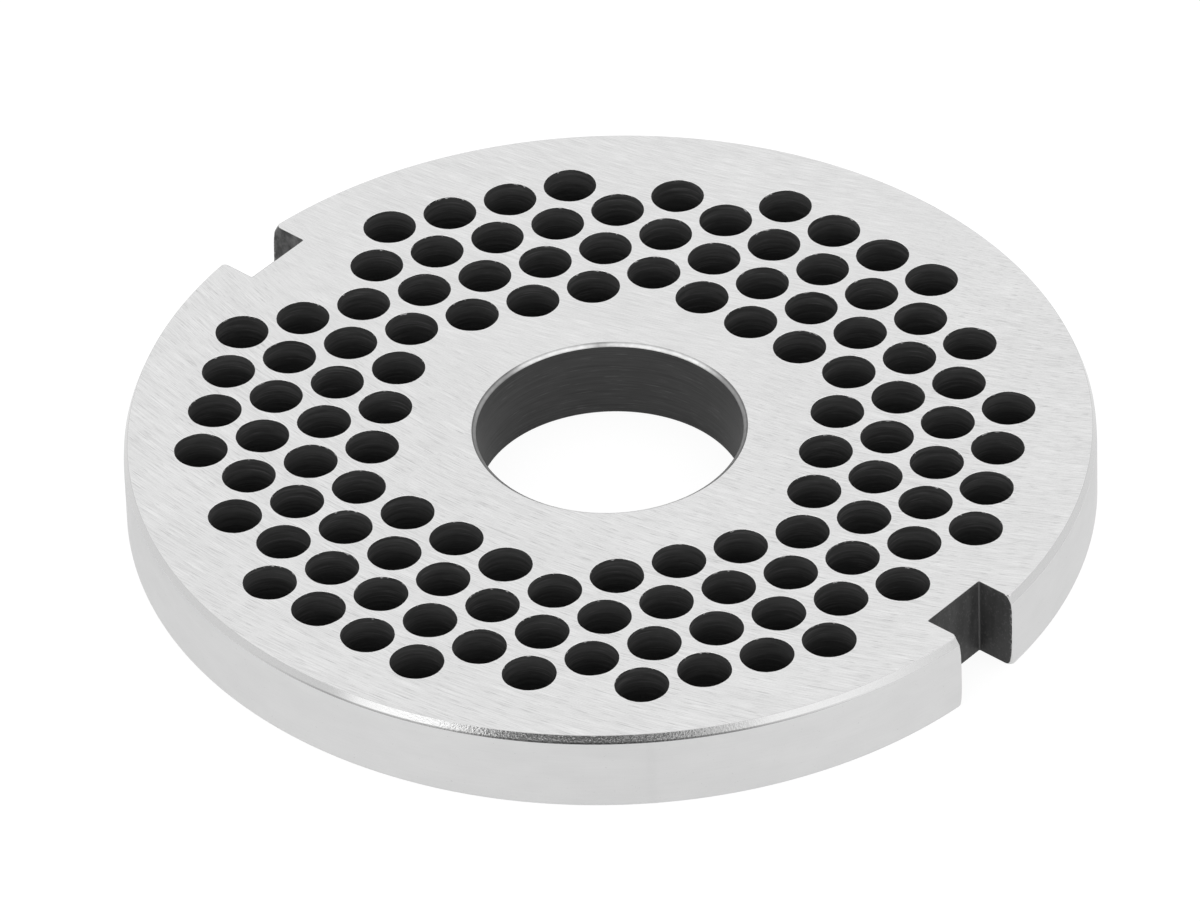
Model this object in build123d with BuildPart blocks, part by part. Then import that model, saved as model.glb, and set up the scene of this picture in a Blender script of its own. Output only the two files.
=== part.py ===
"""Perforated plate for a meat grinder: one steel disc, bored, notched twice and drilled.

The knife of the grinder turns on the upper face and cuts against the sharp rims of the holes.
The bore runs on the end of the feed screw, and the two notches in the rim hold the plate still
on keys inside the ring of the grinder's head.

Frame: millimetres, +Z along the axis of the bore and out of the cutting face.
The origin is on that axis, in the lower face. The notches lie on +X and -X.
"""

import math
import os

from build123d import *

# ---------------------------------------------------------------- driving dimensions
# Blank
plate_diameter = 82.0
plate_thickness = 7.35

# Rim, from the cutting face down: a ground chamfer, a crowned shoulder, a plain cylinder
# and a rounded lower edge
rim_chamfer_width = 0.3
rim_chamfer_height = 0.72
rim_shoulder_width = 0.06
rim_shoulder_height = 1.4
rim_lower_radius = 0.4

# Bore
bore_diameter = 22.5
bore_upper_chamfer_width = 0.38
bore_upper_chamfer_height = 0.25
bore_lower_chamfer = 0.15

# Key notches
notch_count = 2
notch_width = 6.6
notch_depth = 3.67
notch_corner_radius = 0.12

# Drilled field: a triangular lattice of holes, as far as the solid margins let it reach.
# The drilling jig sat slightly off the axis, and slightly turned against the notches.
hole_diameter = 4.5
hole_pitch = 5.45
rim_margin = 4.6
bore_margin = 5.0
notch_margin = 1.0
jig_shift_x = -0.13
jig_shift_y = -0.45
jig_turn = -0.65

# Cutting tools reach this far past the faces that they break through
tool_overrun = 1.0

# ---------------------------------------------------------------- worked-out sizes
plate_radius = plate_diameter / 2
bore_radius = bore_diameter / 2
hole_radius = hole_diameter / 2
notch_floor = plate_radius - notch_depth

face_edge_radius = plate_radius - rim_shoulder_width - rim_chamfer_width
chamfer_foot_height = plate_thickness - rim_chamfer_height
shoulder_foot_height = chamfer_foot_height - rim_shoulder_height

field_inner_radius = bore_radius + bore_margin + hole_radius
field_outer_radius = plate_radius - rim_margin - hole_radius
lattice_reach = math.ceil(2 * field_outer_radius / hole_pitch)

# One hole was never drilled: the outermost of the row that runs out to the notch on -X
undrilled_place = (-math.floor(field_outer_radius / hole_pitch), 0)


def jig_place(column, row):
    """Centre of the hole at this column and row of the triangular lattice, on the plate."""
    along = (column + row / 2) * hole_pitch
    across = row * hole_pitch * math.sqrt(3) / 2
    turn = math.radians(jig_turn)
    return (
        jig_shift_x + along * math.cos(turn) - across * math.sin(turn),
        jig_shift_y + along * math.sin(turn) + across * math.cos(turn),
    )


def is_drilled(column, row):
    """Whether the place lies inside the drilled ring, clear of the notches."""
    if (column, row) == undrilled_place:
        return False
    from_jig_centre = hole_pitch * math.sqrt(column**2 + column * row + row**2)
    if not field_inner_radius <= from_jig_centre <= field_outer_radius:
        return False
    x, y = jig_place(column, row)
    short_of_floor = abs(x) + hole_radius + notch_margin <= notch_floor
    beside_notch = abs(y) - hole_radius - notch_margin >= notch_width / 2
    return short_of_floor or beside_notch


lattice_range = range(-lattice_reach, lattice_reach + 1)
hole_places = [
    jig_place(column, row)
    for column in lattice_range
    for row in lattice_range
    if is_drilled(column, row)
]

# ---------------------------------------------------------------- the plate
with BuildPart() as grinder_plate:
    # Half section of the turned blank, bored, with every edge finished
    with BuildSketch(Plane.XZ):
        with BuildLine():
            upper_face = Line(
                (bore_radius + bore_upper_chamfer_width, plate_thickness),
                (face_edge_radius, plate_thickness),
            )
            rim_chamfer = Line(
                upper_face @ 1,
                (plate_radius - rim_shoulder_width, chamfer_foot_height),
            )
            rim_shoulder = TangentArc(
                (plate_radius, shoulder_foot_height),
                rim_chamfer @ 1,
                tangent=(0, 1),
            )
            rim_cylinder = Line(rim_shoulder @ 0, (plate_radius, rim_lower_radius))
            rim_lower_edge = TangentArc(
                rim_cylinder @ 1,
                (plate_radius - rim_lower_radius, 0),
                tangent=(0, -1),
            )
            lower_face = Line(rim_lower_edge @ 1, (bore_radius + bore_lower_chamfer, 0))
            bore_lower_edge = Line(lower_face @ 1, (bore_radius, bore_lower_chamfer))
            bore_wall = Line(
                bore_lower_edge @ 1,
                (bore_radius, plate_thickness - bore_upper_chamfer_height),
            )
            Line(bore_wall @ 1, upper_face @ 0)
        make_face()
    revolve(axis=Axis.Z)

    # Key notches, milled across the rim, with a flat floor and rounded inner corners
    with BuildSketch(Plane.XY.offset(-tool_overrun)) as notch_outlines:
        with PolarLocations(notch_floor, notch_count):
            Rectangle(
                notch_depth + tool_overrun,
                notch_width,
                align=(Align.MIN, Align.CENTER),
            )
        inner_corners = notch_outlines.vertices().filter_by(
            lambda corner: math.hypot(corner.X, corner.Y) < plate_radius
        )
        fillet(inner_corners, notch_corner_radius)
    extrude(amount=plate_thickness + 2 * tool_overrun, mode=Mode.SUBTRACT)

    # Drilled field, straight through, with the rims of the holes left sharp for cutting
    with BuildSketch(Plane.XY.offset(-tool_overrun)):
        with Locations(*hole_places):
            Circle(hole_radius)
    extrude(amount=plate_thickness + 2 * tool_overrun, mode=Mode.SUBTRACT)

grinder_plate.part.label = "grinder_plate"

os.makedirs("parts", exist_ok=True)
export_step(grinder_plate.part, "parts/grinder_plate.step")
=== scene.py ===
"""Looks of the grinder plate: one drilled and ground steel disc, on a white table in soft light.

Lengths are in metres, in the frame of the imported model: +Z points out of the cutting face, the
origin is on the bore's axis in the back face, and the key notches lie on +X and -X.
"""

import math

import bpy
import numpy as np
from mathutils import Matrix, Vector
from mathutils.geometry import delaunay_2d_cdt


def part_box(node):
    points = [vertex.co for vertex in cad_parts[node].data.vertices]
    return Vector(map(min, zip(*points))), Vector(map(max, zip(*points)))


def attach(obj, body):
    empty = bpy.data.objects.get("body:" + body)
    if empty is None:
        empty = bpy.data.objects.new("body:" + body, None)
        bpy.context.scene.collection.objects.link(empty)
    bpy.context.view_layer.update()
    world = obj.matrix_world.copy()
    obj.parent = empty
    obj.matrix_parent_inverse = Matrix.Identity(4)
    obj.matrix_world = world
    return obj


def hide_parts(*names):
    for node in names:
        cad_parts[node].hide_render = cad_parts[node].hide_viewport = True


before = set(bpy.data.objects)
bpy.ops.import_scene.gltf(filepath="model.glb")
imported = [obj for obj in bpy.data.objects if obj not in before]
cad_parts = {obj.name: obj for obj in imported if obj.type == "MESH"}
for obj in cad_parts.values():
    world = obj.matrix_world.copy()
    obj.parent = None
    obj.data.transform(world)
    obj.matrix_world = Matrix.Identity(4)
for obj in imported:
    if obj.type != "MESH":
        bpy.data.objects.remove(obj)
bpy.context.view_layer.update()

# ---------------------------------------------------------------- turned and ground rim
# The blank is turned from tool steel, hardened and ground bright on its rim. From the cutting
# face down the rim has a ground chamfer, a crowned shoulder that the grinding wheel runs off,
# a plain cylinder and a rounded lower edge.
MM = 0.001
plate_low, plate_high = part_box("grinder_plate")
back_height = plate_low.z
face_height = plate_high.z
plate_radius = (plate_high.y - plate_low.y) / 2
chamfer_width = 0.3 * MM
chamfer_height = 0.72 * MM
shoulder_width = 0.06 * MM
shoulder_height = 1.4 * MM
lower_edge_radius = 0.4 * MM
face_edge_softness = 0.05 * MM
chamfer_foot_softness = 0.1 * MM


def rounded_profile(corners, radii, steps):
    """Rows of a profile in which every inner corner is an arc that touches both of its sides.

    Corners are (reach out of the material, height) pairs, from the cutting face down. An arc's
    centre is corner - radius * (n0 + n1) / (1 + n0 . n1), with n0 and n1 the normals of its two
    sides, and its points are centre + radius * normal as the normal turns evenly from n0 to n1.
    A corner of radius 0 stays sharp, as one row with two normals. Returns each row's reach,
    its height, and the tilt of its normal as seen from the rows above and from those below.
    """
    corners = np.array(corners)
    sides = np.diff(corners, axis=0)
    tilts = np.arctan2(sides[:, 0], -sides[:, 1])
    normals = np.column_stack([np.cos(tilts), np.sin(tilts)])
    rows = []
    for index, (radius, step_count) in enumerate(zip(radii, steps)):
        before, after = normals[index], normals[index + 1]
        centre = corners[index + 1] - radius * (before + after) / (1 + before @ after)
        turn = np.linspace(tilts[index], tilts[index + 1], step_count + 1)
        above, below = (turn, turn) if radius else (turn[:1], turn[-1:])
        points = centre + radius * np.column_stack([np.cos(above), np.sin(above)])
        rows.append(np.column_stack([points, above, below]))
    return np.concatenate(rows).T


shoulder_tilt = 2 * math.atan2(shoulder_width, shoulder_height)
shoulder_radius = shoulder_height / math.sin(shoulder_tilt)
shoulder_corner = face_height - chamfer_height - shoulder_width / math.tan(shoulder_tilt)
shoulder_roundness = 0.92  # share of the largest arc that the shoulder's corner has room for
# Rows that the profile itself doesn't need. The filed corners of the notches change along them.
chamfer_rows = [
    (-shoulder_width - chamfer_width * (1 - share), face_height - chamfer_height * share)
    for share in (0.2, 0.35, 0.55, 0.75)
]
cylinder_rows = [(0, face_height - depth * MM) for depth in (3.5, 4.6, 5.4, 6.0, 6.4, 6.7)]
rim_reach, rim_height, rim_tilt_above, rim_tilt_below = rounded_profile(
    corners=[
        (-2 * (shoulder_width + chamfer_width), face_height),
        (-shoulder_width - chamfer_width, face_height),
        *chamfer_rows,
        (-shoulder_width, face_height - chamfer_height),
        (0, shoulder_corner),
        *cylinder_rows,
        (0, back_height),
        (-2 * lower_edge_radius, back_height),
    ],
    radii=[
        face_edge_softness,
        *[0] * len(chamfer_rows),
        chamfer_foot_softness,
        shoulder_roundness * shoulder_radius,
        *[0] * len(cylinder_rows),
        lower_edge_radius,
    ],
    steps=[3, *[0] * len(chamfer_rows), 3, 6, *[0] * len(cylinder_rows), 6],
)


def put(tree, kind, inputs=None, **settings):
    """Adds a node with these settings. An input that is a socket is linked, the rest are values."""
    made = tree.nodes.new(kind)
    for name, value in settings.items():
        setattr(made, name, value)
    for name, value in (inputs or {}).items():
        if isinstance(value, bpy.types.NodeSocket):
            tree.links.new(value, made.inputs[name])
        else:
            made.inputs[name].default_value = value
    return made


def new_group(name, inputs, outputs):
    """An empty shader node group with these sockets, its input node and its output node."""
    group = bpy.data.node_groups.new(name, "ShaderNodeTree")
    for socket_name, kind in inputs.items():
        group.interface.new_socket(socket_name, in_out="INPUT", socket_type="NodeSocket" + kind)
    for socket_name, kind in outputs.items():
        group.interface.new_socket(socket_name, in_out="OUTPUT", socket_type="NodeSocket" + kind)
    return group, put(group, "NodeGroupInput"), put(group, "NodeGroupOutput")


def make_streaks():
    """Group: noise stretched into streaks, as cells per metre each way, brought to 0 to 1.

    Low and High are the noise levels that become 0 and 1.
    """
    group, given, result = new_group(
        "streaks",
        {"Position": "Vector", "Cells": "Vector", "Low": "Float", "High": "Float"},
        {"Mask": "Float"},
    )
    scaled = put(
        group,
        "ShaderNodeVectorMath",
        {0: given.outputs["Position"], 1: given.outputs["Cells"]},
        operation="MULTIPLY",
    )
    noise = put(
        group, "ShaderNodeTexNoise", {"Vector": scaled.outputs[0], "Scale": 1.0, "Detail": 2.0}
    )
    levels = put(
        group,
        "ShaderNodeMapRange",
        {
            "Value": noise.outputs["Fac"],
            "From Min": given.outputs["Low"],
            "From Max": given.outputs["High"],
        },
    )
    group.links.new(levels.outputs["Result"], result.inputs["Mask"])
    return group


streaks = make_streaks()


def streak_mask(tree, position, cells_per_mm, low, high):
    """Places the streaks group in a material and returns its mask."""
    made = put(tree, "ShaderNodeGroup", node_tree=streaks)
    tree.links.new(position, made.inputs["Position"])
    made.inputs["Cells"].default_value = [count / MM for count in cells_per_mm]
    made.inputs["Low"].default_value = low
    made.inputs["High"].default_value = high
    return made.outputs["Mask"]


def blend_grey(tree, mask, dark, light):
    """Colour between two greys, by a mask."""
    return put(
        tree,
        "ShaderNodeMix",
        {0: mask, 6: (dark, dark, dark, 1), 7: (light, light, light, 1)},
        data_type="RGBA",
    ).outputs[2]


def multiply(tree, colour, mask, weakest):
    """The colour times a factor that runs from weakest, where the mask is 0, to 1 where it is 1."""
    factor = blend_grey(tree, mask, dark=weakest, light=1.0)
    return put(
        tree,
        "ShaderNodeMix",
        {0: 1.0, 6: colour, 7: factor},
        data_type="RGBA",
        blend_type="MULTIPLY",
    ).outputs[2]


def add_light(tree, colour, mask, most):
    """The colour plus a grey that runs from 0, where the mask is 0, to most where it is 1."""
    light = blend_grey(tree, mask, dark=0.0, light=most)
    return put(
        tree, "ShaderNodeMix", {0: 1.0, 6: colour, 7: light}, data_type="RGBA", blend_type="ADD"
    ).outputs[2]


def cover(tree, colour, mask, level):
    """The colour, covered by a grey of this level where the mask is 1."""
    return put(
        tree, "ShaderNodeMix", {0: mask, 6: colour, 7: (level, level, level, 1)}, data_type="RGBA"
    ).outputs[2]


def combine(tree, operation, first, second):
    """One value from two, such as their product or the larger one, by the Math node."""
    return put(tree, "ShaderNodeMath", {0: first, 1: second}, operation=operation).outputs[0]


def new_steel(name):
    """A material with its shader, its node tree and the object coordinates that it reads."""
    material = bpy.data.materials.new(name)
    material.use_nodes = True
    tree = material.node_tree
    shader = tree.nodes["Principled BSDF"]
    position = put(tree, "ShaderNodeTexCoord").outputs["Object"]
    return material, tree, shader, position


def set_steel(tree, shader, colour, metallic, roughness):
    """Links the colour to the shader, and sets how metallic and how rough the surface is."""
    tree.links.new(colour, shader.inputs["Base Color"])
    shader.inputs["Metallic"].default_value = metallic
    shader.inputs["Roughness"].default_value = roughness


def bump(tree, shader, height, distance):
    """Raises the surface by height times distance, through the shader's normal."""
    raised = put(tree, "ShaderNodeBump", {"Height": height, "Distance": distance, "Strength": 1.0})
    tree.links.new(raised.outputs["Normal"], shader.inputs["Normal"])


def make_rim_steel():
    """Satin ground steel: level grey, faint lines round the rim and a few dark specks."""
    material, tree, shader, position = new_steel("rim_steel")
    clouds = streak_mask(tree, position, (0.25, 0.25, 0.5), low=0.35, high=0.65)
    lines = streak_mask(tree, position, (0.3, 0.3, 9.0), low=0.3, high=0.7)
    specks = streak_mask(tree, position, (5.0, 5.0, 6.0), low=0.24, high=0.3)
    colour = blend_grey(tree, clouds, dark=0.73, light=0.75)
    colour = multiply(tree, colour, lines, weakest=0.98)
    colour = multiply(tree, colour, specks, weakest=0.85)
    set_steel(tree, shader, colour, metallic=1.0, roughness=0.5)
    bump(tree, shader, lines, distance=0.002 * MM)
    return material


def height_mask(tree, position, start, end):
    """0 at one height and 1 at the other, and held at those levels outside them."""
    height = put(tree, "ShaderNodeSeparateXYZ", {0: position}).outputs["Z"]
    return put(
        tree, "ShaderNodeMapRange", {"Value": height, "From Min": start, "From Max": end}
    ).outputs["Result"]


def spot_mask(tree, position, centre, radius):
    """1 near a point, and 0 from this distance on, fading over the outer half of the way."""
    full_within = 0.45 * radius
    away = put(
        tree, "ShaderNodeVectorMath", {0: position, 1: centre}, operation="DISTANCE"
    ).outputs["Value"]
    return put(
        tree,
        "ShaderNodeMapRange",
        {"Value": away, "From Min": radius, "From Max": full_within},
        interpolation_type="SMOOTHSTEP",
    ).outputs["Result"]


def make_chamfer_steel():
    """Ground chamfer: smoother than the rim, and on one side mottled, with painted shade as a dark
    line along its foot on that side.
    """
    material, tree, shader, position = new_steel("chamfer_steel")
    grain = streak_mask(tree, position, (5.5, 5.5, 5.5), low=0.3, high=0.7)
    rough_part = spot_mask(tree, position, (24 * MM, -33 * MM, face_height), radius=19 * MM)
    relief = combine(tree, "MULTIPLY", grain, rough_part)
    # Painted shade: a dark line along the chamfer's foot, which the spot below keeps to the side
    # towards the camera.
    foot = face_height - chamfer_height
    near_foot = height_mask(tree, position, foot + 0.18 * MM, foot + 0.1 * MM)
    worn = spot_mask(tree, position, (23 * MM, -34 * MM, foot), radius=30 * MM)
    line = combine(tree, "MULTIPLY", near_foot, worn)
    colour = blend_grey(tree, grain, dark=0.62, light=0.65)
    # Painted shade: the dark line along the foot of the chamfer.
    colour = cover(tree, colour, line, level=0.28)
    set_steel(tree, shader, colour, metallic=1.0, roughness=0.17)
    bump(tree, shader, relief, distance=0.009 * MM)
    return material


plate_finishes = []


def finish_number(material):
    """Gives the plate one more finish, and returns the number that its faces name it by."""
    plate_finishes.append(material)
    return len(plate_finishes) - 1


rim_finish = finish_number(make_rim_steel())
chamfer_finish = finish_number(make_chamfer_steel())

# ---------------------------------------------------------------- key notches
# Two slots are milled across the rim before hardening, on +X and -X. Their walls keep the black
# scale of the heat treatment over the marks of the cutter. The inner corners are nearly sharp.
# The outer ones were broken with a file, two of them more than the other two.
notch_half_width = 3.3 * MM
notch_floor = plate_radius - 3.67 * MM
notch_inner_radius = 0.12 * MM
notch_edge_break = 0.05 * MM
crisp_corner = {"middle": 0.02 * MM, "face": (0.38 * MM, 0.4 * MM), "back": (0.4 * MM, 0.9 * MM)}
worn_corner = {"middle": 0.01 * MM, "face": (0.46 * MM, 1.6 * MM), "back": (0.38 * MM, 0.8 * MM)}
notch_floor_points = 4
inner_corner_points = 5
notch_wall_points = 5
outer_corner_points = 6
rim_points = 180


def filed_radius(height, middle, face, back):
    """Radius of an outer corner of a notch, larger towards both faces of the plate.

    Face and back each give a radius and a reach. That radius is added to the middle one, and
    dies away exponentially with the distance from that face, over its reach.
    """
    from_face = face[0] * np.exp((height - face_height) / face[1])
    from_back = back[0] * np.exp((back_height - height) / back[1])
    return (middle + from_face + from_back)[:, None]


def broken_edge(height, break_radius):
    """Reach and tilt of a straight wall whose upper and lower edges are quarter rounds."""
    upper = np.clip(1 - (face_height - height) / break_radius, 0, 1)
    lower = np.clip(1 - (height - back_height) / break_radius, 0, 1)
    share = np.maximum(upper, lower)
    reach = -break_radius * (1 - np.sqrt(1 - share**2))
    return reach, np.arcsin(upper - lower)


def on_arc(centre_x, centre_y, radius, turn):
    """Points at centre + radius * (cosine, sine) of the turn."""
    return np.stack([centre_x + radius * np.cos(turn), centre_y + radius * np.sin(turn)], axis=-1)


def along(start, end, count):
    """Evenly spaced values from start up to, but without, end, as a new last axis."""
    share = np.arange(count) / count
    return start + (end - start) * share


def notched_outline(rim_reach, notch_reach, rim_height):
    """Closed outlines of the plate, one a row, anticlockwise, with horizontal normals.

    Half an outline runs from the middle of the floor of the +X notch along the floor, round the
    inner corner, out along the wall, round the outer corner, over the rim and back into the -X
    notch by the same steps. The other half is that one turned by 180 degrees. The third result
    is 1 on the notches and 0 on the rim, and passes from one to the other in the outer corners.
    """
    quarter = np.pi / 2
    radius = (plate_radius + rim_reach)[:, None]
    crisp = filed_radius(rim_height, **crisp_corner)
    worn = filed_radius(rim_height, **worn_corner)
    floor = (notch_floor + notch_reach)[:, None]
    wall = (notch_half_width - notch_reach)[:, None]
    every_row = np.ones_like(wall)
    inner_x, inner_y = floor + notch_inner_radius, wall - notch_inner_radius
    crisp_y, worn_y = wall + crisp, wall + worn
    crisp_x = np.sqrt((radius - crisp) ** 2 - crisp_y**2)
    worn_x = np.sqrt((radius - worn) ** 2 - worn_y**2)
    rim_start, rim_end = np.arctan2(crisp_y, crisp_x), np.arctan2(worn_y, -worn_x)
    floor_out = along(0 * wall, inner_y, notch_floor_points)
    inner_turn = along(2 * quarter * every_row, quarter, inner_corner_points)
    wall_out = along(inner_x, crisp_x, notch_wall_points)
    crisp_turn = along(-quarter * every_row, rim_start, outer_corner_points)
    rim_turn = along(rim_start, rim_end, rim_points)
    worn_turn = along(rim_end, 3 * quarter, outer_corner_points)
    wall_in = along(-worn_x, -inner_x, notch_wall_points)
    far_inner_turn = along(quarter * every_row, 0.0, inner_corner_points)
    floor_in = along(inner_y, 0 * wall, notch_floor_points)

    def row_of(x, y):
        return np.stack(np.broadcast_arrays(x, y), axis=-1)

    def facing(x, y, like):
        return np.broadcast_to(np.array([x, y], float), like.shape + (2,))

    points = [
        row_of(floor, floor_out),
        on_arc(inner_x, inner_y, notch_inner_radius, inner_turn),
        row_of(wall_out, wall),
        on_arc(crisp_x, crisp_y, crisp, crisp_turn),
        on_arc(0, 0, radius, rim_turn),
        on_arc(-worn_x, worn_y, worn, worn_turn),
        row_of(wall_in, wall),
        on_arc(-inner_x, inner_y, notch_inner_radius, far_inner_turn),
        row_of(-floor, floor_in),
    ]
    normals = [
        facing(1, 0, floor_out),
        -on_arc(0, 0, 1, inner_turn),
        facing(0, -1, wall_out),
        on_arc(0, 0, 1, crisp_turn),
        on_arc(0, 0, 1, rim_turn),
        on_arc(0, 0, 1, worn_turn),
        facing(0, -1, wall_in),
        -on_arc(0, 0, 1, far_inner_turn),
        facing(-1, 0, floor_in),
    ]
    # The black scale stops where a crisp corner starts, and runs on into a worn one
    walls = np.ones(notch_floor_points + inner_corner_points + notch_wall_points)
    leaving = along(0.5, 0.0, outer_corner_points)
    entering = along(0.2, 1.0, outer_corner_points)
    in_notch = [walls, leaving, np.zeros(rim_points), entering, walls]
    half_points = np.concatenate(points, axis=1)
    half_normals = np.concatenate(normals, axis=1)
    return (
        np.concatenate([half_points, -half_points], axis=1),
        np.concatenate([half_normals, -half_normals], axis=1),
        np.tile(np.concatenate(in_notch), 2),
    )


def make_notch_steel():
    """Milled steel under black scale, lighter in the inner corners, with burrs at the rim."""
    material, tree, shader, position = new_steel("notch_steel")
    marks = streak_mask(tree, position, (1.4, 1.4, 0.3), low=0.3, high=0.72)
    clouds = streak_mask(tree, position, (0.6, 0.6, 0.5), low=0.35, high=0.7)
    flecks = streak_mask(tree, position, (5.0, 5.0, 4.0), low=0.56, high=0.8)
    colour = blend_grey(tree, marks, dark=0.05, light=0.072)
    colour = multiply(tree, colour, clouds, weakest=0.8)
    smears = streak_mask(tree, position, (1.3, 1.3, 0.9), low=0.4, high=0.7)
    rubbed_side = spot_mask(tree, position, (-39 * MM, 3.3 * MM, face_height), radius=9 * MM)
    rubbed = combine(tree, "MULTIPLY", smears, rubbed_side)
    colour = add_light(tree, colour, flecks, most=0.05)
    colour = add_light(tree, colour, rubbed, most=0.12)
    plan = put(
        tree, "ShaderNodeVectorMath", {0: position, 1: (1.0, 1.0, 0.0)}, operation="MULTIPLY"
    )
    quarter = put(tree, "ShaderNodeVectorMath", {0: plan.outputs[0]}, operation="ABSOLUTE")
    inner_corner = (notch_floor + 0.05 * MM, notch_half_width - 0.05 * MM, 0.0)
    from_corner = put(
        tree,
        "ShaderNodeVectorMath",
        {0: quarter.outputs[0], 1: inner_corner},
        operation="DISTANCE",
    )
    corner_line = put(
        tree,
        "ShaderNodeMapRange",
        {"Value": from_corner.outputs["Value"], "From Min": 0.11 * MM, "From Max": 0.06 * MM},
    ).outputs["Result"]
    from_axis = put(tree, "ShaderNodeVectorMath", {0: plan.outputs[0]}, operation="LENGTH")
    at_rim = put(
        tree,
        "ShaderNodeMapRange",
        {
            "Value": from_axis.outputs["Value"],
            "From Min": plate_radius - 0.3 * MM,
            "From Max": plate_radius - 0.1 * MM,
        },
    ).outputs["Result"]
    torn = streak_mask(tree, position, (3.0, 3.0, 4.0), low=0.5, high=0.62)
    burr = combine(tree, "MULTIPLY", torn, at_rim)
    colour = cover(tree, colour, corner_line, level=0.11)
    colour = cover(tree, colour, burr, level=0.4)
    set_steel(tree, shader, colour, metallic=0.0, roughness=0.5)
    shader.inputs["Specular IOR Level"].default_value = 0.25
    bump(tree, shader, flecks, distance=0.004 * MM)
    return material


notch_finish = finish_number(make_notch_steel())

# ---------------------------------------------------------------- bore
# The bore is bored and chamfered before hardening, so its wall is black too, with fine lines
# round it. The chamfer at the cutting face is grey steel, with painted highlights in two places
# and painted light over its side towards the camera.
bore_radius = 11.25 * MM
bore_chamfer_width = 0.38 * MM
bore_chamfer_height = 0.25 * MM
bore_lower_chamfer = 0.15 * MM
bore_edge_softness = 0.05 * MM
bore_points = 200


def make_bore_steel():
    """Black wall with fine lines round the bore, some of them rubbed lighter."""
    material, tree, shader, position = new_steel("bore_steel")
    lines = streak_mask(tree, position, (0.2, 0.2, 8.0), low=0.3, high=0.7)
    rubbed = streak_mask(tree, position, (0.5, 0.5, 9.0), low=0.62, high=0.76)
    clouds = streak_mask(tree, position, (0.3, 0.3, 0.6), low=0.35, high=0.7)
    colour = blend_grey(tree, lines, dark=0.060, light=0.080)
    colour = multiply(tree, colour, clouds, weakest=0.9)
    colour = add_light(tree, colour, rubbed, most=0.04)
    set_steel(tree, shader, colour, metallic=0.0, roughness=0.5)
    shader.inputs["Specular IOR Level"].default_value = 0.08
    bump(tree, shader, lines, distance=0.004 * MM)
    return material


def make_bore_chamfer_steel():
    """Grey chamfer, with painted highlights in two places and painted light on the side towards the
    camera, and darker at its top and bottom edges except on that side.
    """
    material, tree, shader, position = new_steel("bore_chamfer_steel")
    low, high = face_height - bore_chamfer_height, face_height
    from_below = height_mask(tree, position, low, low + 0.07 * MM)
    from_above = height_mask(tree, position, high - 0.04 * MM, high - 0.11 * MM)
    bare = combine(tree, "MULTIPLY", from_below, from_above)
    # Painted highlights: two spots that lift the chamfer to bright steel, and painted light over
    # the side towards the camera.
    painted_highlight = spot_mask(tree, position, (-3.4 * MM, 11.1 * MM, face_height), radius=7.0 * MM)
    second_painted_highlight = spot_mask(tree, position, (-10.6 * MM, 5.0 * MM, face_height), radius=5.0 * MM)
    near_side_painted_light = spot_mask(tree, position, (8.0 * MM, -9.0 * MM, face_height), radius=15.0 * MM)
    bright = combine(tree, "MAXIMUM", combine(tree, "MAXIMUM", painted_highlight, second_painted_highlight), near_side_painted_light)
    # Painted light: on the side towards the camera the edges are kept from darkening too.
    bare = combine(tree, "MAXIMUM", bare, near_side_painted_light)
    grain = streak_mask(tree, position, (1.6, 1.6, 5.0), low=0.3, high=0.7)
    # Dark grey steel, lifted to bright steel by the painted highlights and the painted light.
    metal = blend_grey(tree, bright, dark=0.36, light=0.98)
    metal = multiply(tree, metal, grain, weakest=0.78)
    colour = multiply(tree, metal, bare, weakest=0.6)
    set_steel(tree, shader, colour, metallic=1.0, roughness=0.35)
    bump(tree, shader, grain, distance=0.008 * MM)
    return material


bore_reach, bore_height, bore_tilt_above, bore_tilt_below = rounded_profile(
    corners=[
        (-2 * bore_chamfer_width, face_height),
        (-bore_chamfer_width, face_height),
        (0, face_height - bore_chamfer_height),
        (0, back_height + bore_lower_chamfer),
        (-bore_lower_chamfer, back_height),
        (-2 * bore_lower_chamfer, back_height),
    ],
    radii=[bore_edge_softness] * 4,
    steps=[2] * 4,
)
bore_finish = finish_number(make_bore_steel())
bore_chamfer_finish = finish_number(make_bore_chamfer_steel())

# ---------------------------------------------------------------- drilled holes
# The holes are drilled straight through on a triangular lattice, in a jig that sat slightly off
# the axis and slightly turned. Grinding the face afterwards leaves their rims sharp, bright and a
# little ragged, and the hardening leaves their walls black.
hole_radius = 2.25 * MM
hole_pitch = 5.45 * MM
jig_centre = np.array([-0.13 * MM, -0.45 * MM])
jig_turn = math.radians(-0.65)
field_inner_radius = 18.5 * MM
field_outer_radius = 34.15 * MM
lattice_reach = 8
undrilled_place = (-6, 0)
notch_clearance = 1.0 * MM
hole_points = 36
hole_edge_break = 0.05 * MM
hole_edge_wander = 0.014 * MM


def drilled_places():
    """Centres of the holes: every place of the lattice inside the drilled ring, but for one.

    Place (column, row) is at (column + row / 2, row * root 3 / 2) pitches, turned and moved with
    the jig. Places that would break into a notch are left out.
    """
    every_place = slice(-lattice_reach, lattice_reach + 1)
    column, row = np.mgrid[every_place, every_place].reshape(2, -1)
    x = (column + row / 2) * hole_pitch
    y = row * hole_pitch * math.sqrt(3) / 2
    from_centre = np.hypot(x, y)
    places = jig_centre + np.column_stack(
        [
            x * math.cos(jig_turn) - y * math.sin(jig_turn),
            x * math.sin(jig_turn) + y * math.cos(jig_turn),
        ]
    )
    reach = np.abs(places) + hole_radius + notch_clearance
    clear = np.abs(places) - hole_radius - notch_clearance
    beside_notches = (reach[:, 0] <= notch_floor) | (clear[:, 1] >= notch_half_width)
    in_ring = (from_centre >= field_inner_radius) & (from_centre <= field_outer_radius)
    undrilled = (column == undrilled_place[0]) & (row == undrilled_place[1])
    return places[in_ring & beside_notches & ~undrilled]


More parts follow.
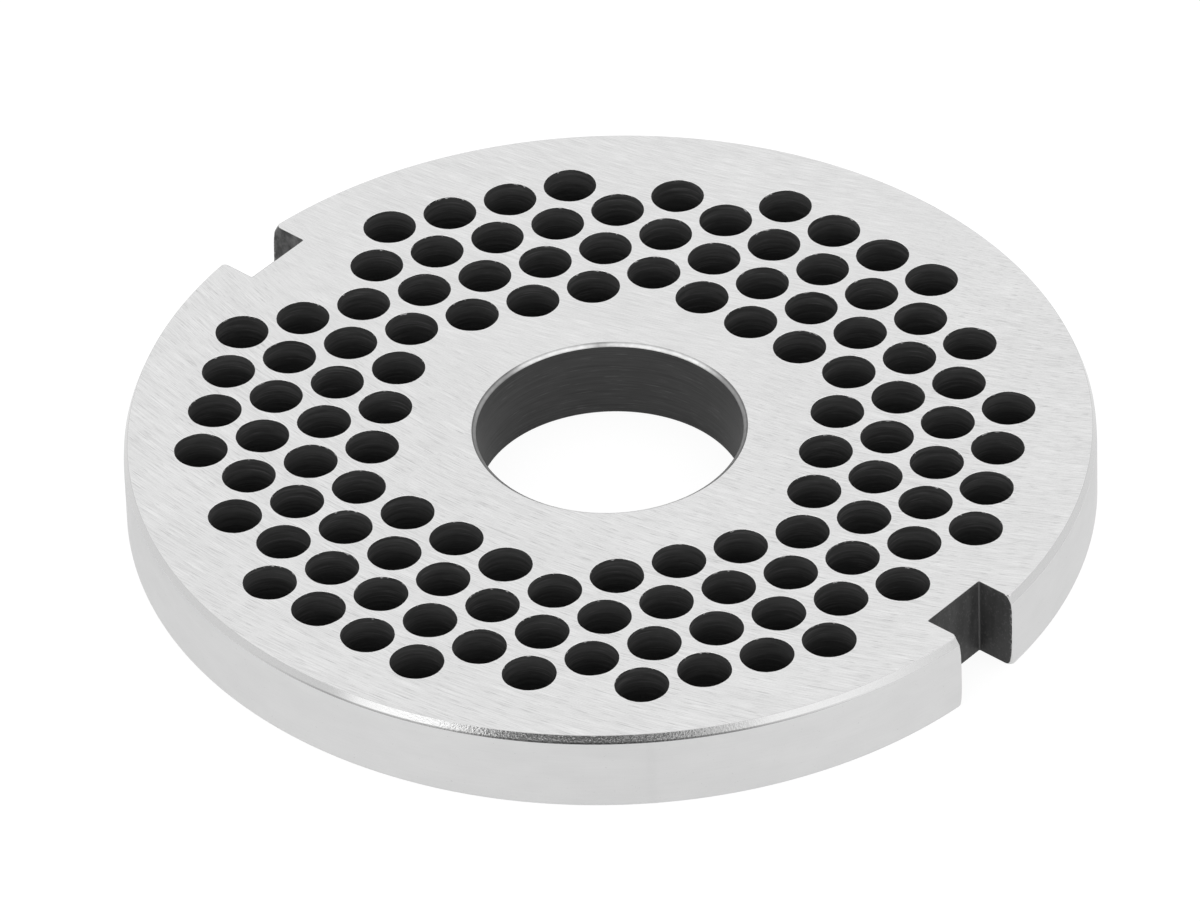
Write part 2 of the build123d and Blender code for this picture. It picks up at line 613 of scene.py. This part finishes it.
def make_hole_steel():
    """Black wall with rings from the drill, painted shade that darkens it deeper down, and torn
    light flecks at the rim.
    """
    material, tree, shader, position = new_steel("hole_steel")
    rings = streak_mask(tree, position, (0.3, 0.3, 3.5), low=0.3, high=0.7)
    fine_rings = streak_mask(tree, position, (0.35, 0.35, 8.0), low=0.58, high=0.7)
    # Painted shade: the wall is darkened from 1 mm to 3.3 mm below the face, deeper into the hole.
    inside = height_mask(tree, position, face_height - 3.3 * MM, face_height - 1.0 * MM)
    colour = blend_grey(tree, rings, dark=0.045, light=0.08)
    colour = add_light(tree, colour, fine_rings, most=0.04)
    colour = multiply(tree, colour, inside, weakest=0.3)
    near_rim = height_mask(tree, position, face_height - 0.3 * MM, face_height - 0.05 * MM)
    torn = streak_mask(tree, position, (2.2, 2.2, 2.5), low=0.5, high=0.75)
    torn_rim = combine(tree, "MULTIPLY", torn, near_rim)
    flecks = put(
        tree, "ShaderNodeMapRange", {"Value": torn_rim, "From Min": 0.3, "From Max": 0.45}
    ).outputs["Result"]
    colour = cover(tree, colour, flecks, level=0.55)
    set_steel(tree, shader, colour, metallic=0.0, roughness=0.5)
    shader.inputs["Specular IOR Level"].default_value = 0.08
    bump(tree, shader, rings, distance=0.01 * MM)
    return material


def make_edge_steel():
    """The bare steel of an edge that grinding has left sharp."""
    material, tree, shader, position = new_steel("edge_steel")
    wear = streak_mask(tree, position, (1.5, 1.5, 1.5), low=0.3, high=0.7)
    colour = blend_grey(tree, wear, dark=0.75, light=0.95)
    set_steel(tree, shader, colour, metallic=1.0, roughness=0.25)
    return material


hole_finish = finish_number(make_hole_steel())
edge_finish = finish_number(make_edge_steel())

# ---------------------------------------------------------------- ground faces
# Both faces are ground flat on a cup wheel, so that the plate can be turned over when one side is
# dull. The wheel leaves long fine arcs across the face, round a centre outside the plate. On the
# cutting face a last, lighter pass crosses them at another angle.
cutting_arcs_centre = (-9 * MM, 96 * MM, 0.0)
last_pass_centre = (-51 * MM, 147 * MM, 0.0)
last_pass_middle = (-24 * MM, 28 * MM, face_height)
last_pass_radius = 42 * MM
last_pass_wear = 0.3
back_arcs_centre = (60 * MM, -110 * MM, 0.0)
ground_grey = 0.845


def make_wheel_arcs():
    """Group: position to (distance from a centre, way round it, height), both as lengths.

    The way round is the angle times the reach of that centre from the plate's axis.
    """
    group, given, result = new_group(
        "wheel_arcs", {"Position": "Vector", "Centre": "Vector"}, {"Arcs": "Vector"}
    )
    offset = put(
        group,
        "ShaderNodeVectorMath",
        {0: given.outputs["Position"], 1: given.outputs["Centre"]},
        operation="SUBTRACT",
    )
    parts = put(group, "ShaderNodeSeparateXYZ", {0: offset.outputs[0]})
    flat = put(group, "ShaderNodeCombineXYZ", {0: parts.outputs[0], 1: parts.outputs[1]})
    distance = put(group, "ShaderNodeVectorMath", {0: flat.outputs[0]}, operation="LENGTH")
    reach = put(
        group, "ShaderNodeVectorMath", {0: given.outputs["Centre"]}, operation="LENGTH"
    )
    angle = combine(group, "ARCTAN2", parts.outputs[0], parts.outputs[1])
    way_round = combine(group, "MULTIPLY", angle, reach.outputs["Value"])
    arcs = put(
        group,
        "ShaderNodeCombineXYZ",
        {0: distance.outputs["Value"], 1: way_round, 2: parts.outputs[2]},
    )
    group.links.new(arcs.outputs[0], result.inputs["Arcs"])
    return group


wheel_arcs = make_wheel_arcs()


def make_grinding():
    """Group: how bright the ground steel is, as a factor, from its lines, dashes and scratches.

    Centre is the middle of the wheel's arcs. Wear is the strength of the dashes and scratches.
    """
    group, given, result = new_group(
        "grinding", {"Position": "Vector", "Centre": "Vector", "Wear": "Float"}, {"Bright": "Color"}
    )
    arcs = put(group, "ShaderNodeGroup", node_tree=wheel_arcs)
    group.links.new(given.outputs["Position"], arcs.inputs["Position"])
    group.links.new(given.outputs["Centre"], arcs.inputs["Centre"])
    along_arcs = arcs.outputs["Arcs"]
    fine = streak_mask(group, along_arcs, (12.0, 0.35, 0), low=0.28, high=0.72)
    broad = streak_mask(group, along_arcs, (2.0, 0.08, 0), low=0.3, high=0.7)
    dashes = streak_mask(group, along_arcs, (12.0, 0.7, 0), low=0.26, high=0.42)
    scratches = streak_mask(group, along_arcs, (7.0, 0.25, 0), low=0.24, high=0.36)
    bright = blend_grey(group, fine, dark=0.87, light=1.09)
    bright = multiply(group, bright, broad, weakest=0.94)
    worn = multiply(group, bright, dashes, weakest=0.68)
    worn = multiply(group, worn, scratches, weakest=0.72)
    shade = put(
        group,
        "ShaderNodeMix",
        {0: given.outputs["Wear"], 6: bright, 7: worn},
        data_type="RGBA",
    ).outputs[2]
    group.links.new(shade, result.inputs["Bright"])
    return group


grinding = make_grinding()


def make_ground_steel(name, arcs_centre, has_last_pass):
    """Ground steel: long fine lines, dark dashes, scratches, pits, grain and cloudy patches."""
    material, tree, shader, position = new_steel(name)

    def ground(centre, wear):
        made = put(tree, "ShaderNodeGroup", node_tree=grinding)
        tree.links.new(position, made.inputs["Position"])
        made.inputs["Centre"].default_value = centre
        made.inputs["Wear"].default_value = wear
        return made.outputs["Bright"]

    colour = ground(arcs_centre, 1.0)
    if has_last_pass:
        last_pass = spot_mask(tree, position, last_pass_middle, last_pass_radius)
        last_colour = ground(last_pass_centre, last_pass_wear)
        colour = put(
            tree, "ShaderNodeMix", {0: last_pass, 6: colour, 7: last_colour}, data_type="RGBA"
        ).outputs[2]
    clouds = streak_mask(tree, position, (0.11, 0.11, 0), low=0.35, high=0.65)
    smudges = streak_mask(tree, position, (0.5, 0.5, 0), low=0.25, high=0.4)
    pits = streak_mask(tree, position, (3.0, 3.0, 0), low=0.2, high=0.27)
    grain = streak_mask(tree, position, (7.0, 7.0, 0), low=0.3, high=0.7)
    colour = multiply(tree, colour, clouds, weakest=0.97)
    colour = multiply(tree, colour, smudges, weakest=0.98)
    colour = multiply(tree, colour, pits, weakest=0.84)
    colour = multiply(tree, colour, grain, weakest=0.93)
    steel = put(
        tree,
        "ShaderNodeMix",
        {0: 1.0, 6: colour, 7: (ground_grey, ground_grey, ground_grey, 1)},
        data_type="RGBA",
        blend_type="MULTIPLY",
    ).outputs[2]
    set_steel(tree, shader, steel, metallic=1.0, roughness=0.32)
    return material


face_finish = finish_number(
    make_ground_steel("cutting_face_steel", cutting_arcs_centre, has_last_pass=True)
)
back_finish = finish_number(
    make_ground_steel("back_face_steel", back_arcs_centre, has_last_pass=False)
)

# ---------------------------------------------------------------- the plate in one piece
# All of these surfaces belong to one solid disc. They are joined here into one closed mesh: bands
# of quads down the rim, the bore and the holes, and two flat faces between their edges.
least_chamfer_tilt = 0.3  # radians, under which a band counts as the bore's wall
hole_edge_seed = 7
vertex_parts = []
face_parts = []
normal_parts = []
finish_parts = []


def tilted(horizontal, tilt):
    """Normals: a horizontal direction times the cosine of the tilt, and its sine as the rise."""
    shape = np.broadcast_shapes(horizontal.shape[:-1], tilt.shape)
    level = np.broadcast_to(horizontal, shape + (2,)) * np.cos(tilt)[..., None]
    rise = np.broadcast_to(np.sin(tilt), shape)[..., None]
    return np.concatenate([level, rise], axis=-1)


def quads(upper, lower, points_axis):
    """Corners of the quads between rows of closed loops: down, on, and up again.

    They lie on a new axis, right after that of the points round the loops.
    """
    next_upper = np.roll(upper, -1, axis=points_axis)
    next_lower = np.roll(lower, -1, axis=points_axis)
    return np.stack([upper, lower, next_lower, next_upper], axis=points_axis)


def add_bands(places, above, below, finishes):
    """Adds the quads between neighbouring rows of closed loops.

    places has the shape (..., rows, points round, 3). A quad takes the normals that its upper
    row has below it and that its lower row has above it. Returns the vertices' numbers.
    """
    first = sum(len(part) for part in vertex_parts)
    numbers = first + np.arange(places[..., 0].size).reshape(places.shape[:-1])
    vertex_parts.append(places.reshape(-1, 3))
    faces = quads(numbers[..., :-1, :], numbers[..., 1:, :], points_axis=-1)
    face_parts.append(faces.reshape(-1, 4))
    normals = quads(below[..., :-1, :, :], above[..., 1:, :, :], points_axis=-2)
    normal_parts.append(normals.reshape(-1, 4, 3))
    band_shape = numbers[..., 1:, :].shape
    finish_parts.append(np.broadcast_to(finishes, band_shape).ravel())
    return numbers


def add_flat_face(outline, openings, upwards, finish):
    """A flat face inside the outline and outside the openings, cut into Delaunay triangles.

    The steel lies to the left of every loop: the outline runs anticlockwise, the openings run
    clockwise. So a triangle whose corners all lie on one loop fills a hole or a notch if it turns
    clockwise when its corners are taken in the loop's own order, and is left out.
    """
    loops = [outline, *openings]
    numbers = np.concatenate(loops)
    loop_of = np.repeat(np.arange(len(loops)), [len(loop) for loop in loops])
    starts = np.cumsum([0] + [len(loop) for loop in loops[:-1]])
    sides = []
    for start, loop in zip(starts, loops):
        places_on_loop = np.arange(start, start + len(loop))
        sides.append(np.column_stack([places_on_loop, np.roll(places_on_loop, -1)]))
    points = np.concatenate(vertex_parts)[numbers, :2] / MM
    fill_everything, tolerance = 0, 1e-7
    solved = delaunay_2d_cdt(
        points.tolist(), np.concatenate(sides).tolist(), [], fill_everything, tolerance, True
    )
    solved_faces, source_points = np.array(solved[2]), solved[3]
    first_source = np.array([sources[0] for sources in source_points])
    triangles = np.sort(first_source[solved_faces], axis=1)
    corner = points[triangles]
    to_second, to_third = corner[:, 1] - corner[:, 0], corner[:, 2] - corner[:, 0]
    anticlockwise = to_second[:, 0] * to_third[:, 1] > to_second[:, 1] * to_third[:, 0]
    on_loop = loop_of[triangles]
    on_one_loop = (on_loop == on_loop[:, :1]).all(axis=1)
    kept = anticlockwise | ~on_one_loop
    triangles, wrong_way = triangles[kept], anticlockwise[kept] != upwards
    triangles[wrong_way] = triangles[wrong_way][:, ::-1]
    face_parts.append(numbers[triangles])
    rise = 1.0 if upwards else -1.0
    normal_parts.append(np.broadcast_to([0.0, 0.0, rise], triangles.shape + (3,)))
    finish_parts.append(np.full(len(triangles), finish))


def rise_to(points, heights):
    """Adds the rows' heights to points that have only x and y."""
    level = np.broadcast_to(heights[:, None], points.shape[:-1])
    return np.concatenate([points, level[..., None]], axis=-1)


# The outer surface: the rim's rows, with the notches' own profile where the outline enters them
notch_reach, notch_tilt = broken_edge(rim_height, notch_edge_break)
outline, outwards, in_notch = notched_outline(rim_reach, notch_reach, rim_height)
rim_above = rim_tilt_above[:, None] * (1 - in_notch) + notch_tilt[:, None] * in_notch
rim_below = rim_tilt_below[:, None] * (1 - in_notch) + notch_tilt[:, None] * in_notch
rim_band_tilt = (rim_tilt_below[:-1] + rim_tilt_above[1:]) / 2
on_chamfer = (rim_band_tilt > 1.05 * shoulder_tilt)[:, None]
outer_finishes = np.where(on_chamfer, chamfer_finish, rim_finish)
outer_finishes = np.where(in_notch > 0.5, notch_finish, outer_finishes)
outer_numbers = add_bands(
    rise_to(outline, rim_height),
    tilted(outwards, rim_above),
    tilted(outwards, rim_below),
    outer_finishes,
)

# The bore, clockwise, so that its quads face the axis
bore_turn = -2 * np.pi * np.arange(bore_points) / bore_points
bore_direction = on_arc(0, 0, 1, bore_turn)
bore_rows = (bore_radius - bore_reach)[:, None, None] * bore_direction
bore_band_tilt = np.abs(bore_tilt_below[:-1] + bore_tilt_above[1:]) / 2
in_chamfer = (bore_band_tilt > least_chamfer_tilt)[:, None]
bore_numbers = add_bands(
    rise_to(bore_rows, bore_height),
    tilted(-bore_direction, bore_tilt_above[:, None]),
    tilted(-bore_direction, bore_tilt_below[:, None]),
    np.where(in_chamfer, bore_chamfer_finish, bore_finish),
)

# The holes, all at once, with an upper edge that wanders a little
places = drilled_places()
chance = np.random.default_rng(hole_edge_seed)
wander = hole_edge_wander * chance.standard_normal((len(places), hole_points))
wander = (wander + np.roll(wander, 1, axis=1) + np.roll(wander, 2, axis=1)) / math.sqrt(3)
hole_turn = -2 * np.pi * np.arange(hole_points) / hole_points
hole_direction = on_arc(0, 0, 1, hole_turn)
upper_radius = hole_radius + hole_edge_break + wander
lower_radius = np.full_like(wander, hole_radius)
hole_radii = np.stack([upper_radius, hole_radius + wander / 2, lower_radius], axis=1)
hole_heights = np.array([face_height, face_height - hole_edge_break, back_height])
hole_xy = places[:, None, None, :] + hole_radii[..., None] * hole_direction
hole_tilt = np.array([np.pi / 2, 0, 0])[:, None] * np.ones(hole_points)
hole_normals = np.broadcast_to(tilted(-hole_direction, hole_tilt), hole_radii.shape + (3,))
hole_numbers = add_bands(
    rise_to(hole_xy, hole_heights),
    hole_normals,
    hole_normals,
    np.array([[edge_finish], [hole_finish]]),
)

add_flat_face(
    outer_numbers[0], [bore_numbers[0], *hole_numbers[:, 0]], upwards=True, finish=face_finish
)
add_flat_face(
    outer_numbers[-1], [bore_numbers[-1], *hole_numbers[:, -1]], upwards=False, finish=back_finish
)

plate_mesh = bpy.data.meshes.new("drilled_plate")
plate_faces = [face for part in face_parts for face in part.tolist()]
plate_mesh.from_pydata(np.concatenate(vertex_parts).tolist(), [], plate_faces)
for material in plate_finishes:
    plate_mesh.materials.append(material)
plate_mesh.polygons.foreach_set("material_index", np.concatenate(finish_parts).astype(np.int32))
plate_mesh.shade_smooth()
plate_mesh.normals_split_custom_set(
    np.concatenate([part.reshape(-1, 3) for part in normal_parts]).tolist()
)
plate_mesh.validate()
plate = bpy.data.objects.new("drilled_plate", plate_mesh)
bpy.context.scene.collection.objects.link(plate)
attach(plate, "root")
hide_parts("grinder_plate")

# ---------------------------------------------------------------- floor and studio light
# The plate lies on a white table in a bright room, brighter overhead. Two soft panels are lit
# left and right of the camera, and low between them is a dark gap. The table lies a hair under
# the plate, and can be seen through from below, so that the back face can be looked at too.
view_azimuth = math.radians(-48.42)
floor_size = 6.0
floor_gap = 0.02 * MM
floor_grey = 0.8
shadow_grey = 0.16
mirrored_glow = 0.8
seen_glow = 0.9
panel_softness = 0.15


def make_floor():
    """White table. Cameras and reflections see it glow to white, less the shadow on it."""
    material = bpy.data.materials.new("white_table")
    material.use_nodes = True
    tree = material.node_tree
    tree.nodes.clear()
    paint = put(
        tree, "ShaderNodeBsdfDiffuse", {"Color": (floor_grey, floor_grey, floor_grey, 1)}
    )
    path = put(tree, "ShaderNodeLightPath")
    strength = put(
        tree,
        "ShaderNodeMapRange",
        {"Value": path.outputs["Is Camera Ray"], "To Min": mirrored_glow, "To Max": seen_glow},
    )
    faint = put(
        tree, "ShaderNodeBsdfDiffuse", {"Color": (shadow_grey, shadow_grey, shadow_grey, 1)}
    )
    glow = put(tree, "ShaderNodeEmission", {"Strength": strength.outputs["Result"]})
    lit = put(tree, "ShaderNodeAddShader", {0: faint.outputs[0], 1: glow.outputs[0]})
    seen = combine(tree, "MAXIMUM", path.outputs["Is Camera Ray"], path.outputs["Is Glossy Ray"])
    chosen = put(tree, "ShaderNodeMixShader", {0: seen, 1: paint.outputs[0], 2: lit.outputs[0]})
    underneath = put(tree, "ShaderNodeNewGeometry").outputs["Backfacing"]
    clear = put(tree, "ShaderNodeBsdfTransparent")
    one_sided = put(
        tree, "ShaderNodeMixShader", {0: underneath, 1: chosen.outputs[0], 2: clear.outputs[0]}
    )
    put(tree, "ShaderNodeOutputMaterial", {"Surface": one_sided.outputs[0]})
    mesh = bpy.data.meshes.new("table_top")
    half = floor_size / 2
    corners = [(-half, -half), (half, -half), (half, half), (-half, half)]
    level = back_height - floor_gap
    mesh.from_pydata([(x, y, level) for x, y in corners], [], [(0, 1, 2, 3)])
    mesh.materials.append(material)
    return bpy.data.objects.new("table_top", mesh)


table_top = make_floor()
bpy.context.scene.collection.objects.link(table_top)


def panel_mask(tree, direction, azimuth, elevation, width, height):
    """1 inside a patch of the sky, at this place and with these half angles, with a soft edge.

    The direction is taken apart into its parts to the right of the patch's middle, above it and
    towards it, and the patch is the ellipse in which the first two, over their sizes, reach 1.
    """
    ahead = (
        math.cos(elevation) * math.cos(azimuth),
        math.cos(elevation) * math.sin(azimuth),
        math.sin(elevation),
    )
    right = (-math.sin(azimuth), math.cos(azimuth), 0.0)
    up = (
        -math.sin(elevation) * math.cos(azimuth),
        -math.sin(elevation) * math.sin(azimuth),
        math.cos(elevation),
    )

    def part(axis, size):
        scaled = tuple(value / size for value in axis)
        return put(
            tree, "ShaderNodeVectorMath", {0: direction, 1: scaled}, operation="DOT_PRODUCT"
        ).outputs["Value"]

    aside, above = part(right, math.sin(width)), part(up, math.sin(height))
    flat = put(tree, "ShaderNodeCombineXYZ", {0: aside, 1: above})
    reach = put(tree, "ShaderNodeVectorMath", {0: flat.outputs[0]}, operation="LENGTH")
    inside = put(
        tree,
        "ShaderNodeMapRange",
        {
            "Value": reach.outputs["Value"],
            "From Min": 1 + panel_softness,
            "From Max": 1 - panel_softness,
        },
        interpolation_type="SMOOTHSTEP",
    )
    in_front = combine(tree, "GREATER_THAN", part(ahead, 1), 0.0)
    return combine(tree, "MULTIPLY", inside.outputs["Result"], in_front)


def make_room():
    """The room's light: grey at the sides, white overhead, with the two panels and the gap.

    The camera itself sees it white all round.
    """
    world = bpy.data.worlds.new("bright_room")
    world.use_nodes = True
    tree = world.node_tree
    tree.nodes.clear()
    direction = put(tree, "ShaderNodeTexCoord").outputs["Generated"]
    rise = put(tree, "ShaderNodeSeparateXYZ", {0: direction}).outputs["Z"]
    overhead = put(
        tree,
        "ShaderNodeMapRange",
        {"Value": rise, "From Min": 0.1, "From Max": 0.6},
        interpolation_type="SMOOTHSTEP",
    ).outputs["Result"]
    room = blend_grey(tree, overhead, dark=0.72, light=1.0)

    def hang(room, across, elevation, width, height, level):
        """The room with one more patch, placed in degrees across from the camera and up."""
        patch = panel_mask(
            tree,
            direction,
            view_azimuth + math.radians(across),
            math.radians(elevation),
            math.radians(width),
            math.radians(height),
        )
        return cover(tree, room, patch, level)

    room = hang(room, across=-46, elevation=14, width=15, height=28, level=1.75)
    room = hang(room, across=55, elevation=14, width=30, height=28, level=1.4)
    room = hang(room, across=-8, elevation=3, width=23, height=13, level=0.06)
    path = put(tree, "ShaderNodeLightPath")
    colour = put(
        tree,
        "ShaderNodeMix",
        {0: path.outputs["Is Camera Ray"], 6: room, 7: (1, 1, 1, 1)},
        data_type="RGBA",
    ).outputs[2]
    sky = put(tree, "ShaderNodeBackground", {"Color": colour, "Strength": 1.0})
    put(tree, "ShaderNodeOutputWorld", {"Surface": sky.outputs[0]})
    return world


bpy.context.scene.world = make_room()
bpy.context.scene.view_settings.view_transform = "Standard"

# ---------------------------------------------------------------- camera
# A long lens looks down on the plate from between the notches, nearer to the one on +X.
view_distance = 1.11406
view_elevation = math.radians(38.485)
view_roll = math.radians(-1.951)
aim_point = np.array([2.300 * MM, -3.962 * MM, face_height])
image_width = 1200
lens_pixels = 13282
sensor_width_mm = 36


def make_camera():
    """A camera on a straight line from the aim point, turned about that line by the roll."""
    back = np.array(
        [
            math.cos(view_elevation) * math.cos(view_azimuth),
            math.cos(view_elevation) * math.sin(view_azimuth),
            math.sin(view_elevation),
        ]
    )
    level = np.array([-math.sin(view_azimuth), math.cos(view_azimuth), 0.0])
    over = np.cross(back, level)
    right = level * math.cos(view_roll) + over * math.sin(view_roll)
    up = np.cross(back, right)
    turned = np.eye(4)
    turned[:3, 0], turned[:3, 1], turned[:3, 2] = right, up, back
    turned[:3, 3] = aim_point + view_distance * back
    data = bpy.data.cameras.new("camera")
    data.sensor_width = sensor_width_mm
    data.lens = lens_pixels * sensor_width_mm / image_width
    data.clip_end = 20.0
    camera = bpy.data.objects.new("camera", data)
    camera.matrix_world = Matrix(turned.tolist())
    return camera


camera = make_camera()
bpy.context.scene.collection.objects.link(camera)
bpy.context.scene.camera = camera
